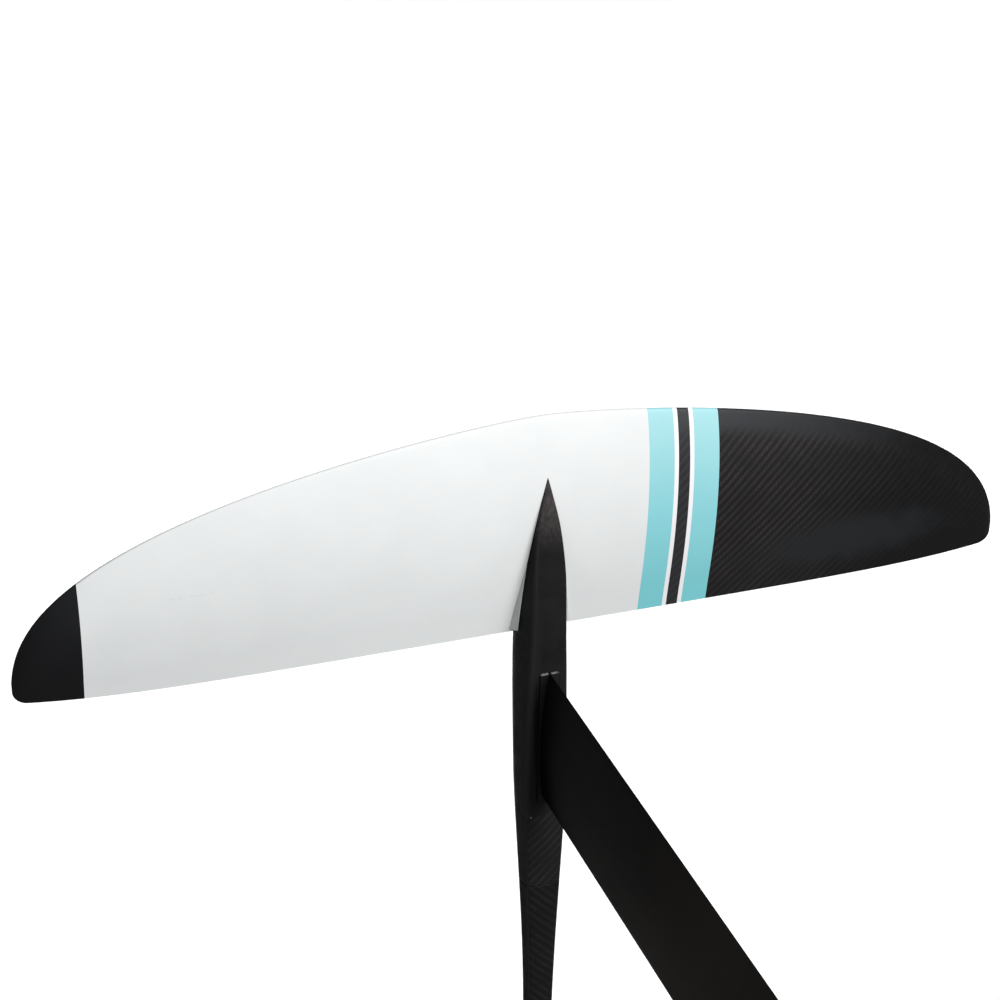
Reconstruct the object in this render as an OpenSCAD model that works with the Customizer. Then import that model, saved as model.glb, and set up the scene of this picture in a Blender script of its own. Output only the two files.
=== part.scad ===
// Hydrofoil: front wing, fuselage, mast, rear wing and the base plate that bolts to a board.
// Millimetres. +X is starboard, +Y is forward and +Z is up, with the origin at the centre of
// the base plate's board face. The foil hangs below it.

/* [Front wing] */
// Span of the front wing, from tip to tip
wing_span = 820; // [760:10:880]
// Chord of the front wing at its middle
wing_chord = 185; // [178:1:195]
// Height of the upper surface over the chord plane, as a share of the chord
wing_crown = 0.071; // [0.06:0.001:0.08]
// Depth of the lower surface under the chord plane, as a share of the chord
wing_belly = 0.035; // [0.03:0.001:0.04]
// Thickness of each laminate skin
skin = 1.6; // [1.2:0.1:2]

/* [Rear wing] */
// Span of the rear wing, from tip to tip
tail_span = 400; // [360:10:420]
// Chord of the rear wing at its middle
tail_chord = 72; // [68:1:76]
// Height of its upper surface and depth of its lower one, as a share of the chord
tail_crown = 0.055; // [0.05:0.001:0.06]
// Distance from the front wing's leading edge back to the rear wing's
tail_back = 594; // [588:1:600]
// Thickness of the shim that sets the rear wing's angle
shim_thick = 1.5; // [1:0.5:2]

/* [Fuselage] */
// Half of the fuselage's greatest width
fus_half_w = 21; // [20:0.5:23]
// Half of its width at the tail
fus_tail_half_w = 12; // [11:0.5:13]
// Height of its top over the front wing's chord plane
fus_top = 28; // [27:0.5:29]
// Distance from the front wing's leading edge back to the nose tip
nose_back = 48; // [44:1:52]
// Distance back to the joint between the main part and the tail
seam_back = 417; // [412:1:422]

/* [Mast] */
// Length of the hollow mast section
mast_len = 720; // [650:10:900]
// Chord of the mast
mast_chord = 120; // [116:1:122]
// Greatest thickness of the mast
mast_thick = 13.2; // [13:0.1:13.8]
// Width of the foot block that joins the mast to the fuselage
foot_width = 16; // [15.5:0.1:16.4]
// Wall of the hollow mast section
mast_wall = 2.2; // [1.8:0.1:2.5]
// Distance from the front wing's leading edge back to the middle of the mast
mast_back = 272; // [268:1:276]

/* [Base plate] */
// Width of the base plate
plate_w = 112; // [108:1:130]
// Length of the base plate
plate_l = 190; // [186:1:210]
// Thickness of the base plate
plate_thick = 12; // [10:1:14]
// Distance between bolt slots across the board
slot_gap_x = 90; // [90:1:90]
// Distance between bolt slots along the board
slot_gap_y = 165; // [165:1:165]
// Width of a bolt slot, for an M8 screw
slot_w = 8.5; // [8.5:0.1:9]
// Length of a bolt slot from end to end
slot_l = 14.5; // [13:0.5:15]

/* [Fasteners] */
// Radius of the M6 screws that hold the two wings
wing_screw_r = 3; // [3:0.1:3]
// Radius of the M8 screws that hold the mast
mast_screw_r = 4; // [4:0.1:4]
// Clearance between parts that slide together
gap = 0.2; // [0.1:0.05:0.3]

/* [Hidden] */
$fn = 64;

// Steps of the wing surfaces along the span and along the chord
SPAN_STEPS = 32;
CHORD_STEPS = 14;
// Share of the planform curve that is used, so that each tip ends in a short straight edge
TIP_END = 0.998;
// Outline of the foam core inside the skins, as shares of the span and of the local chord
CORE_SPAN = 0.94;
CORE_FRONT = 0.045;
CORE_REAR = 0.92;
// Powers of the section's curve at the leading and trailing edges
NOSE_POWER = 0.78;
TAIL_POWER = 1.12;
// The same two powers of the mast's section
MAST_NOSE_POWER = 0.72;
MAST_TAIL_POWER = 0.5;
// Where the trailing edge starts to round into a tip, and by how much, as shares of span and chord
TIP_CORNER = 0.972;
TIP_CORNER_DEPTH = 0.05;

// A wing is [half span, root chord, crown share, belly share]
front = [wing_span / 2, wing_chord, wing_crown, wing_belly];
rear = [tail_span / 2, tail_chord, tail_crown, tail_crown];

// Heights, measured from the front wing's chord plane
bed_z = 0.3;
foot_floor = 6;
foot_top = fus_top + 0.2;
board_z = foot_top + mast_len + plate_thick - 3;
tail_bed_z = 12.5;
rear_wing_z = tail_bed_z - shim_thick - 2.5;
collar_h = 12;
insert_l = 22;
thread_gap = 0.05;
wing_insert_r = 4.6;
wing_insert_l = 12;
mast_insert_r = 4.6;
tail_insert_r = 4.2;
tail_insert_l = 9;
bush_r = 7.2;
cup_r = 9.5;
cup_h = 4.6;
socket_corner = 3;
plate_corner = 14;
plate_screw_l = 30;
// The key on top of the foot, and the plugs in the mast's chambers
key_h = 20;
plug_l = 40;
step_back = wing_chord + 2.3;
tail_end = tail_back + tail_chord + 4;
// Width, length and height of the spigot, and the height of its underside
spigot = [18, 80, 11];
spigot_z = 12;
// The solid block in the middle of the front wing
block_half_w = 34;
block_front = 58;
// Where the saddle beside the nose starts, how high it rises there and at the back, and how far it
// spreads at the back
saddle_front = 122;
saddle_rise = [0.6, 5.8];
saddle_spread = [0.3, 5.4];

// Distances back from the front wing's leading edge to each screw
wing_screw_back = [78, 107, 136];
mast_screw_back = [for (u = [0.34, 0.76]) mast_back + (u - 0.5) * mast_chord];
rear_screw_back = [tail_back + 22, tail_back + 46];

// ---- Wing surfaces ----

function curve(u) = pow(u, NOSE_POWER) * pow(1 - u, TAIL_POWER);
CURVE_MAX = curve(NOSE_POWER / (NOSE_POWER + TAIL_POWER));

// Leading edge, trailing edge and chord plane height at span share s, from 0 at the root to 1 at a tip
function lead(w, s) = -1.004 * w[1] * (1 - pow(1 - pow(s, 1.483), 0.39));
function tip_corner(s) =
  let (t = min(1, max(0, (s - TIP_CORNER) / (TIP_END - TIP_CORNER))))
  TIP_CORNER_DEPTH * (1 - sqrt(1 - t * t));
function trail(w, s) = -w[1] * (1 + 0.0565 * pow(s, 2) - 0.065 * pow(s, 6) - tip_corner(s));
function droop(w, s) = w[0] * (0.0094 * pow(s, 4) - 0.043 * pow(s, 2));
function chord(w, s) = lead(w, s) - trail(w, s);

// Signed span share of station i, and chord share of station j
function span_at(i) = sin(90 * (2 * i / SPAN_STEPS - 1));
function chord_at(j) = (1 - cos(180 * j / CHORD_STEPS)) / 2;
function on_rim(i, j) = i == 0 || i == SPAN_STEPS || j == 0 || j == CHORD_STEPS;

// A point at signed span share s and chord share u, raised by h
function wing_point(w, s, u, h) =
  let (q = abs(s) * TIP_END)
  [s * w[0], lead(w, q) - u * chord(w, q), droop(w, q) + h];

// Height of a surface whose share of the chord is k
function rise(w, s, u, k) = k * chord(w, abs(s) * TIP_END) * curve(u) / CURVE_MAX;

// Height of the inner face of a skin: one skin thickness in, and never more than two thirds
function inner_rise(w, s, u, k) =
  let (r = rise(w, s, u, abs(k)))
  sign(k) * max(r - skin, 0.35 * r);

function outer_grid(w, k) = [
  for (i = [0:SPAN_STEPS], j = [0:CHORD_STEPS])
    wing_point(w, span_at(i), chord_at(j), on_rim(i, j) ? 0 : rise(w, span_at(i), chord_at(j), k))
];
function inner_grid(w, k) = [
  for (i = [0:SPAN_STEPS], j = [0:CHORD_STEPS])
    let (s = CORE_SPAN * span_at(i), u = CORE_FRONT + (CORE_REAR - CORE_FRONT) * chord_at(j))
    wing_point(w, s, u, on_rim(i, j) ? 0 : inner_rise(w, s, u, k))
];

// Two triangles split along a to c, seen from above, or from below when flip is true
function quad(a, b, c, d, flip) = flip ? [[a, c, b], [a, d, c]] : [[a, b, c], [a, c, d]];
// Faces of a grid. Every diagonal leans away from the nearest corner, so no triangle lies flat there.
function grid_faces(first, flip) = [
  for (i = [0:SPAN_STEPS - 1], j = [0:CHORD_STEPS - 1])
    let (a = first + i * (CHORD_STEPS + 1) + j, b = a + CHORD_STEPS + 1)
    each (i < SPAN_STEPS / 2) == (j < CHORD_STEPS / 2)
      ? quad(a, b, b + 1, a + 1, flip)
      : quad(b, b + 1, a + 1, a, flip)
];

// Point numbers round the rim of a grid: port tip, trailing edge, starboard tip, leading edge
RIM = concat(
  [for (j = [0:CHORD_STEPS]) j],
  [for (i = [1:SPAN_STEPS]) i * (CHORD_STEPS + 1) + CHORD_STEPS],
  [for (j = [CHORD_STEPS - 1:-1:0]) SPAN_STEPS * (CHORD_STEPS + 1) + j],
  [for (i = [SPAN_STEPS - 1:-1:1]) i * (CHORD_STEPS + 1)]
);
GRID_SIZE = (SPAN_STEPS + 1) * (CHORD_STEPS + 1);
function rim_faces(flip) = [
  for (n = [0:len(RIM) - 1])
    let (a = RIM[n], d = RIM[(n + 1) % len(RIM)])
    each quad(a, a + GRID_SIZE, d + GRID_SIZE, d, flip)
];

// One laminate skin, which is upper for a positive k and lower for a negative one
module wing_skin(w, k) {
  polyhedron(
    points = concat(outer_grid(w, k), inner_grid(w, k)),
    faces = concat(grid_faces(0, k < 0), grid_faces(GRID_SIZE, k > 0), rim_faces(k > 0)),
    convexity = 6
  );
}

// The space between the skins
module wing_inside(w) {
  polyhedron(
    points = concat(inner_grid(w, w[2]), inner_grid(w, -w[3])),
    faces = concat(grid_faces(0, false), grid_faces(GRID_SIZE, true), rim_faces(true)),
    convexity = 6
  );
}

// A wing of solid laminate
module solid_wing(w) {
  polyhedron(
    points = concat(outer_grid(w, w[2]), outer_grid(w, -w[3])),
    faces = concat(grid_faces(0, false), grid_faces(GRID_SIZE, true), rim_faces(true)),
    convexity = 6
  );
}

// Height of the front wing's surface on the centreline, a distance back from the leading edge
function root_surface(back, k) = rise(front, 0, back / wing_chord, k);

// ---- Fuselage sections ----

function share(back, from, to) = min(1, max(0, (back - from) / (to - from)));

function fus_half_width(back) =
  back < 310 ? fus_half_w * (1 - pow(1 - share(back, nose_back, 310), 3.6))
  : back < tail_end - 20 ? fus_tail_half_w
    + (fus_half_w - fus_tail_half_w) * pow(1 - pow(share(back, 310, 590), 1.5), 2.35)
  : fus_tail_half_w - 5 * pow(share(back, tail_end - 20, tail_end), 2);
function fus_top_at(back) =
  back < 190 ? 12.5 + (fus_top - 12.5) * (1 - pow(1 - share(back, nose_back, 190), 2))
  : fus_top - 4 * pow(share(back, tail_end - 50, tail_end), 2);
function fus_belly_at(back) =
  tail_bed_z - 31.5 * pow(1 - pow(share(back, 190, 590), 1.3), 2.2);

// Share of the half width where the deck turns down into the side
function chine_share(back) =
  0.76 + 0.24 * pow(1 - share(back, 85, 165), 1.5) + 0.1 * share(back, 190, 360);
function chine_z(back, mid) = fus_top_at(back) - 0.12 * (fus_top_at(back) - mid);
// Half width of a side at share t of the way down from the chine to the widest point
function side_x(back, t) =
  let (c = chine_share(back))
  fus_half_width(back) * (c + (1 - c) * pow(t, 0.85));

// The upper half of a section, from the crown down to the widest point at height mid
function deck(back, mid) =
  let (chine = chine_z(back, mid), top = fus_top_at(back))
  concat(
    [for (t = [0, 0.34, 0.68, 1]) [t * side_x(back, 0), top - (top - chine) * t * t]],
    [for (t = [0.12, 0.45, 0.75]) [side_x(back, t), chine * (1 - t) + mid * t]]
  );
// The lower half of a full section, from the widest point round to the keel
function keel(back, mid) =
  let (w = fus_half_width(back), belly = fus_belly_at(back))
  [for (a = [0:15:90]) [w * pow(cos(a), 0.8), mid - (mid - belly) * pow(sin(a), 0.8)]];
// The lower half of the nose, with upright sides and a flat bottom on the wing's bed
function bed(back, mid) =
  let (w = fus_half_width(back))
  [[w, mid], [w, (mid + bed_z) / 2], [w, bed_z], [0.66 * w, bed_z], [0.33 * w, bed_z], [0, bed_z]];

function nose_mid(back) =
  bed_z + 0.7 + 0.52 * (fus_top_at(back) - bed_z) * (1 - share(back, 130, step_back));
function body_mid(back) = fus_belly_at(back) + 0.45 * (fus_top_at(back) - fus_belly_at(back));

// A closed ring of points from half a section, which starts on the crown and ends on the keel
function ring(back, half) = concat(
  [for (p = half) [p[0], -back, p[1]]],
  [for (n = [len(half) - 2:-1:1]) [-half[n][0], -back, half[n][1]]]
);
function nose_ring(back) = ring(back, concat(deck(back, nose_mid(back)), bed(back, nose_mid(back))));
function body_ring(back) = ring(back, concat(deck(back, body_mid(back)), keel(back, body_mid(back))));

// A closed solid through rings that have the same number of points, from front to back
module loft(rings) {
  n = len(rings[0]);
  last = (len(rings) - 1) * n;
  polyhedron(
    points = [for (r = rings) each r],
    faces = concat(
      [[for (j = [0:n - 1]) n - 1 - j]],
      [[for (j = [0:n - 1]) last + j]],
      [
        for (i = [0:len(rings) - 2], j = [0:n - 1])
          let (a = i * n + j, b = i * n + (j + 1) % n)
          each [[a, b, b + n], [a, b + n, a + n]]
      ]
    ),
    convexity = 4
  );
}

// Outline of the nose seen from above, grown by a clearance, back to the step
module nose_outline(grow) {
  backs = [for (t = [0:0.1:1]) nose_back - grow + (step_back + 3 - nose_back) * pow(t, 1.5)];
  polygon(concat(
    [[0, -nose_back + 2 * grow]],
    [for (b = backs) if (b > nose_back) [fus_half_width(b) + grow, -b]],
    [for (n = [len(backs) - 1:-1:0]) if (backs[n] > nose_back) [-fus_half_width(backs[n]) - grow, -backs[n]]]
  ));
}
module nose_room() {
  translate([0, 0, bed_z]) linear_extrude(40) nose_outline(gap);
}

// ---- Mast section ----

function mast_curve(u) = pow(u, MAST_NOSE_POWER) * pow(1 - u, MAST_TAIL_POWER);
MAST_CURVE_MAX = mast_curve(MAST_NOSE_POWER / (MAST_NOSE_POWER + MAST_TAIL_POWER));
function foil_half(u) = mast_thick / 2 * mast_curve(u) / MAST_CURVE_MAX;

// Mast outline grown by a clearance, centred, with its leading edge towards +Y
module mast_outline(grow) {
  steps = 24;
  us = [for (n = [0:steps]) (1 - cos(180 * n / steps)) / 2];
  function at(u, side) = [side * (foil_half(u) + grow + 0.5 * u), (0.5 - u) * (mast_chord + 2 * grow)];
  polygon(concat([for (u = us) at(u, 1)], [for (n = [steps:-1:1]) at(us[n], -1)]));
}

// A hollow in the mast between two chord shares, with its wall left by the inset
module mast_chamber(from, to, inset) {
  us = [for (t = [0:0.2:1]) from + (to - from) * t];
  function at(u, side) = [side * (foil_half(u) - inset), (0.5 - u) * mast_chord];
  polygon(concat([for (u = us) at(u, 1)], [for (n = [len(us) - 1:-1:0]) at(us[n], -1)]));
}
chambers = [[0.11, 0.25], [0.4, 0.7], [0.82, 0.93]];

// ---- Shared shapes ----

// Moves a shape from the front wing's frame to the base plate's
module at_wing() {
  translate([0, mast_back, -board_z]) children();
}
// Places a shape on the centreline at each distance back
module at_each(backs) {
  for (b = backs) translate([0, -b, 0]) children();
}
// A block with round upright corners, centred in X and Y
module round_block(w, l, h, r) {
  translate([-w / 2 + r, -l / 2, 0]) cube([w - 2 * r, l, h]);
  translate([-w / 2, -l / 2 + r, 0]) cube([w, l - 2 * r, h]);
  for (x = [-1, 1], y = [-1, 1]) translate([x * (w / 2 - r), y * (l / 2 - r), 0]) cylinder(r = r, h = h);
}
// A countersunk screw that points up, with the face of its head at z = 0
module flat_screw(r, l) {
  difference() {
    union() {
      cylinder(r1 = 2 * r - 0.1, r2 = r, h = r);
      cylinder(r = r, h = l - 0.5);
      translate([0, 0, l - 0.5]) cylinder(r1 = r, r2 = r - 0.5, h = 0.5);
    }
    translate([0, 0, -1]) cylinder(r = 0.72 * r, h = 1 + 0.6 * r, $fn = 6);
  }
}
// The hole that its head and shank need
module flat_screw_hole(r, l) {
  translate([0, 0, -20]) cylinder(r = 2 * r + gap, h = 20.01);
  cylinder(r1 = 2 * r + gap, r2 = r + gap, h = r);
  cylinder(r = r + gap, h = l);
}
module thread_insert(outer_r, screw_r, l) {
  difference() {
    cylinder(r = outer_r, h = l);
    translate([0, 0, -1]) cylinder(r = screw_r + thread_gap, h = l + 2);
  }
}

// ---- Front wing ----

// The fairing on each side of the nose, from its tip back to the trailing edge
module saddle_side() {
  loft([
    for (t = [0:0.125:1])
      let (
        back = saddle_front + (wing_chord - 3 - saddle_front) * t,
        foot = fus_half_width(back) + gap,
        floor = root_surface(back, wing_crown) - 0.4,
        crest = floor + saddle_rise[0] * (1 - t) + saddle_rise[1] * t,
        chine = chine_z(back, nose_mid(back)),
        inner = gap + side_x(back, share(chine - crest, 0, chine - nose_mid(back)))
      )
      [
        [foot, -back, floor],
        [inner, -back, crest],
        [inner + 0.2 + t, -back, crest],
        [foot + saddle_spread[0] * (1 - t) + saddle_spread[1] * t, -back, floor]
      ]
  ]);
}

module front_wing_upper_skin() {
  color("white") at_wing() {
    difference() {
      wing_skin(front, wing_crown);
      translate([0, 0, -6]) nose_room();
    }
    saddle_side();
    mirror([1, 0, 0]) saddle_side();
  }
}

module front_wing_lower_skin() {
  color("#1c1c1e") at_wing() difference() {
    wing_skin(front, -wing_belly);
    at_each(wing_screw_back) translate([0, 0, -20]) cylinder(r = bush_r, h = 40);
  }
}

module block_space(grow) {
  translate([-block_half_w - grow, -wing_chord, -20]) cube([
    2 * (block_half_w + grow), wing_chord - block_front + grow, 60
  ]);
}

module front_wing_core() {
  color("#d9cfa8") at_wing() difference() {
    wing_inside(front);
    block_space(0);
    nose_room();
  }
}

module front_wing_root_block() {
  color("#2b2b2d") at_wing() difference() {
    intersection() {
      wing_inside(front);
      block_space(0);
    }
    nose_room();
    at_each(wing_screw_back) translate([0, 0, -20]) cylinder(r = bush_r, h = 40);
  }
}

// Height of the wing's lower surface under a screw, where its head and bush start
function screw_face(back) = -root_surface(back, wing_belly) + 0.2;

module front_wing_bushes() {
  color("silver") at_wing() for (b = wing_screw_back) translate([0, -b, screw_face(b)]) difference() {
    cylinder(r = bush_r, h = bed_z - screw_face(b));
    flat_screw_hole(wing_screw_r, 20);
  }
}

module front_wing_screws() {
  color("#8d9094") at_wing() for (b = wing_screw_back) translate([0, -b, screw_face(b)])
    flat_screw(wing_screw_r, wing_insert_l - screw_face(b));
}

module nose_threaded_inserts() {
  color("#b59a4c") at_wing() at_each(wing_screw_back) translate([0, 0, bed_z])
    thread_insert(wing_insert_r, wing_screw_r, wing_insert_l);
}

// ---- Fuselage ----

module spigot_space(grow) {
  translate([-spigot[0] / 2 - grow, -seam_back - spigot[1] / 2 - grow, spigot_z - grow])
    cube([spigot[0] + 2 * grow, spigot[1] + 2 * grow, spigot[2] + 2 * grow]);
}

module mast_socket() {
  translate([0, -mast_back, foot_floor])
    round_block(foot_width + 2 * gap, mast_chord + 1 + 2 * gap, 40, socket_corner);
}

module fuselage_main() {
  nose_backs = [for (t = [0.02, 0.06, 0.14, 0.25, 0.38, 0.52, 0.68, 0.84, 1])
    nose_back + (step_back - nose_back) * t];
  body_backs = concat([step_back], [for (b = [200:18:398]) b], [seam_back]);
  color("#232326") at_wing() difference() {
    union() {
      loft([for (b = nose_backs) nose_ring(b)]);
      loft([for (b = body_backs) body_ring(b)]);
    }
    mast_socket();
    spigot_space(0.1);
    at_each(wing_screw_back) cylinder(r = wing_insert_r, h = bed_z + wing_insert_l + 1);
    for (b = mast_screw_back) translate([0, -b, -30]) {
      cylinder(r = mast_screw_r + gap, h = 60);
      cylinder(r = cup_r + gap, h = cup_seat(b) + 30);
    }
  }
}

module fuselage_tail() {
  backs = concat([seam_back], [for (b = [434:18:578]) b], [590, 604, 620, 636, 650],
    [for (t = [0.35, 0.65, 0.88, 1]) tail_end - 20 + 20 * t]);
  color("#232326") at_wing() difference() {
    loft([for (b = backs) body_ring(b)]);
    spigot_space(0.1);
    at_each(rear_screw_back) translate([0, 0, tail_bed_z - 20])
      cylinder(r = tail_insert_r, h = 20 + tail_insert_l + 0.5);
  }
}

module fuselage_spigot() {
  color("#3a3a3d") at_wing() spigot_space(0);
}

// ---- Mast ----

module mast_foot() {
  color("#1a1a1c") at_wing() translate([0, -mast_back, 0]) difference() {
    union() {
      translate([0, 0, foot_floor])
        round_block(foot_width, mast_chord + 1, foot_top - foot_floor, socket_corner - gap);
      translate([0, 0, foot_top]) linear_extrude(key_h)
        mast_chamber(chambers[1][0] + 0.01, chambers[1][1] - 0.01, mast_wall + 0.15);
    }
    for (b = mast_screw_back) translate([0, mast_back - b, 0]) cylinder(r = mast_screw_r + gap, h = 60);
  }
}

module mast_extrusion() {
  color("#141416") at_wing() translate([0, -mast_back, foot_top]) linear_extrude(mast_len) difference() {
    mast_outline(0);
    for (c = chambers) mast_chamber(c[0], c[1], mast_wall);
    for (b = mast_screw_back) translate([0, mast_back - b]) circle(r = mast_insert_r);
  }
}

module mast_chamber_plugs() {
  color("#c9c4b4") at_wing() translate([0, -mast_back, foot_top])
    for (z = [key_h + 2, mast_len - plug_l - 2]) translate([0, 0, z])
      for (c = chambers) linear_extrude(plug_l) mast_chamber(c[0] + 0.002, c[1] - 0.002, mast_wall + 0.1);
}

// Height of the upper face of each cup washer under the fuselage
function cup_seat(back) = fus_belly_at(back) + cup_h + 1;

module mast_foot_cup_washers() {
  color("#8d9094") at_wing() for (b = mast_screw_back) translate([0, -b, cup_seat(b) - cup_h])
    difference() {
      cylinder(r = cup_r, h = cup_h);
      flat_screw_hole(mast_screw_r, 20);
    }
}

module mast_foot_screws() {
  color("#8d9094") at_wing() for (b = mast_screw_back) translate([0, -b, cup_seat(b) - cup_h])
    flat_screw(mast_screw_r, foot_top + insert_l - cup_seat(b) + cup_h);
}

module mast_inserts(z) {
  at_wing() at_each(mast_screw_back) translate([0, 0, z])
    thread_insert(mast_insert_r, mast_screw_r, insert_l);
}

module mast_lower_thread_inserts() {
  color("#b59a4c") mast_inserts(foot_top + 1);
}

module mast_upper_thread_inserts() {
  color("#b59a4c") mast_inserts(foot_top + mast_len - insert_l - 1);
}

// ---- Base plate ----

module base_plate() {
  screw_y = [for (b = mast_screw_back) mast_back - b];
  color("#1a1a1c") difference() {
    union() {
      translate([0, 0, -plate_thick]) round_block(plate_w, plate_l, plate_thick, plate_corner);
      translate([0, 0, -plate_thick - collar_h])
        round_block(foot_width + 12, mast_chord + 14, collar_h + 1, 12);
    }
    translate([0, 0, -plate_thick - collar_h - 1]) linear_extrude(collar_h + 4) mast_outline(gap);
    for (x = [-1, 1], y = [-1, 1])
      translate([x * slot_gap_x / 2, y * slot_gap_y / 2, -plate_thick - 1]) slot(plate_thick + 2);
    for (y = screw_y) translate([0, y, 0]) mirror([0, 0, 1]) flat_screw_hole(mast_screw_r, 40);
  }
}

// A bolt slot that runs across the board
module slot(h) {
  run = slot_l - slot_w;
  translate([-run / 2, -slot_w / 2, 0]) cube([run, slot_w, h]);
  for (x = [-1, 1]) translate([x * run / 2, 0, 0]) cylinder(d = slot_w, h = h);
}

module base_plate_screws() {
  color("#8d9094") for (b = mast_screw_back) translate([0, mast_back - b, -0.2]) mirror([0, 0, 1])
    flat_screw(mast_screw_r, plate_screw_l);
}

// ---- Rear wing ----

module rear_bed() {
  translate([-14, -tail_chord - 3, 2.5]) cube([28, tail_chord, 20]);
}

module rear_wing() {
  color("#1c1c1e") at_wing() translate([0, -tail_back, rear_wing_z]) difference() {
    solid_wing(rear);
    rear_bed();
    for (b = rear_screw_back) translate([0, tail_back - b, rear_screw_face(b)])
      flat_screw_hole(wing_screw_r, 20);
  }
}

// Height of the rear wing's lower surface under a screw
function rear_screw_face(back) = -rise(rear, 0, (back - tail_back) / tail_chord, tail_crown) + 0.2;

module rear_wing_shim() {
  color("#2b2b2d") at_wing() translate([0, 0, tail_bed_z - shim_thick]) difference() {
    translate([0, -tail_back - 34, 0]) round_block(22, 48, shim_thick, 6);
    at_each(rear_screw_back) translate([0, 0, -1]) cylinder(r = wing_screw_r + gap, h = 10);
  }
}

module rear_wing_screws() {
  color("#8d9094") at_wing() for (b = rear_screw_back)
    translate([0, -b, rear_wing_z + rear_screw_face(b)])
      flat_screw(wing_screw_r, tail_bed_z + tail_insert_l - 1 - rear_wing_z - rear_screw_face(b));
}

module tail_threaded_inserts() {
  color("#b59a4c") at_wing() at_each(rear_screw_back) translate([0, 0, tail_bed_z])
    thread_insert(tail_insert_r, wing_screw_r, tail_insert_l);
}

front_wing_upper_skin();
front_wing_lower_skin();
front_wing_core();
front_wing_root_block();
front_wing_bushes();
front_wing_screws();
nose_threaded_inserts();
fuselage_main();
fuselage_tail();
fuselage_spigot();
mast_foot();
mast_extrusion();
mast_chamber_plugs();
mast_foot_screws();
mast_foot_cup_washers();
mast_lower_thread_inserts();
mast_upper_thread_inserts();
base_plate();
base_plate_screws();
rear_wing();
rear_wing_shim();
rear_wing_screws();
tail_threaded_inserts();
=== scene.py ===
"""A water-sports hydrofoil in a white studio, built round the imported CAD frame.

Lengths are millimetres in the front wing's own terms: `back` is the distance behind the wing's
root leading edge and `up` the height over its root chord plane. place() turns them into metres in
the frame that the CAD pieces share.
"""
import math

import bmesh
import bpy
import numpy as np
from mathutils import Matrix, Vector


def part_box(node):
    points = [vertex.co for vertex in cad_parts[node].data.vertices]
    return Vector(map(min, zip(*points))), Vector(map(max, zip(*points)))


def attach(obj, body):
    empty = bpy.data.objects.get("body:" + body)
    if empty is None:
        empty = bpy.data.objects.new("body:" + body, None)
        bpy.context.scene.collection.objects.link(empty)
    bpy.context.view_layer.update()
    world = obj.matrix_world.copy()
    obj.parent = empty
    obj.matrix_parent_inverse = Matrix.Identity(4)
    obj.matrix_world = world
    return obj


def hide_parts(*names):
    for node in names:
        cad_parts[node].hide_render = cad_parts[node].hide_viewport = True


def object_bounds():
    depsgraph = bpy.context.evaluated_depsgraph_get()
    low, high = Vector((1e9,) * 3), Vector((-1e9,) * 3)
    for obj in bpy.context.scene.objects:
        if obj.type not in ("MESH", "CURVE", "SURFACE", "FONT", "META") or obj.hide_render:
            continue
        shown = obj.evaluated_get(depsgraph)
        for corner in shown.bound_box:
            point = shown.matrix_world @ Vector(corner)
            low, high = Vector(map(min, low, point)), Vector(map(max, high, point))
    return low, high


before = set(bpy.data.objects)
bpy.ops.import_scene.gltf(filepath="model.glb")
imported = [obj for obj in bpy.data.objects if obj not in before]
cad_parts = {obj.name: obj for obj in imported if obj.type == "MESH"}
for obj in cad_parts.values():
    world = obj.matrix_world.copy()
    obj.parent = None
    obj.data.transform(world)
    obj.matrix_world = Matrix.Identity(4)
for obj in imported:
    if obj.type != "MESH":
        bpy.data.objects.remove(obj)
cad_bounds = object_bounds()
scene = bpy.context.scene

MM = 0.001
BODY = "root"

# ---- Where the CAD model puts things ----

_, skin_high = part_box("front_wing_lower_skin")
ROOT_LEAD_Y = skin_high.y
CHORD_PLANE_Z = skin_high.z
HALF_SPAN = skin_high.x / MM


def back_of(y):
    return (ROOT_LEAD_Y - y) / MM


def up_of(z):
    return (z - CHORD_PLANE_Z) / MM


_, rear_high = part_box("rear_wing")
REAR_HALF_SPAN = rear_high.x / MM
REAR_BACK = back_of(rear_high.y)
main_low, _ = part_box("fuselage_main")
SEAM_BACK = back_of(main_low.y)
tail_low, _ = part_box("fuselage_tail")
TAIL_END = back_of(tail_low.y)
mast_low, mast_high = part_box("mast_extrusion")
MAST_BACK = back_of((mast_low.y + mast_high.y) / 2)
MAST_CHORD = (mast_high.y - mast_low.y) / MM
MAST_FOOT_UP = up_of(mast_low.z)
MAST_TOP_UP = up_of(mast_high.z)
foot_low, foot_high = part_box("mast_foot")
FOOT_WIDTH = (foot_high.x - foot_low.x) / MM
FOOT_LENGTH = (foot_high.y - foot_low.y) / MM

# The CAD model's own sizes
ROOT_CHORD = 185.0
CROWN = 0.071
BELLY = 0.035
SKIN = 1.6
REAR_CHORD = 72.0
REAR_CROWN = 0.055
REAR_SEAT_UP = 2.5
NOSE_BACK = 48.0
NOSE_TOP = 12.5
LEVEL_BACK = 190.0
WIDEST_BACK = 310.0
TAPER_END = 590.0
FUS_TOP = 28.0
FUS_HALF_W = 21.0
FUS_TAIL_HALF_W = 12.0
TAIL_BED_UP = 12.5
BED_UP = 0.3
STEP_BACK = ROOT_CHORD + 2.3
SADDLE_FRONT = 122.0
SADDLE_SPREAD = (0.3, 5.4)
GAP = 0.2
BUSH_R = 7.2
CUP_R = 9.5
CUP_SEAT = 5.6
MAST_SCREW_R = 4.0
MAST_THICK = 13.2
MAST_WALL = 2.2
MAST_CHAMFER = 0.25
MAST_BORE_R = 4.6
MAST_BORES = (0.34, 0.76)
MAST_CHAMBERS = ((0.11, 0.25), (0.4, 0.7), (0.82, 0.93))


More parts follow.
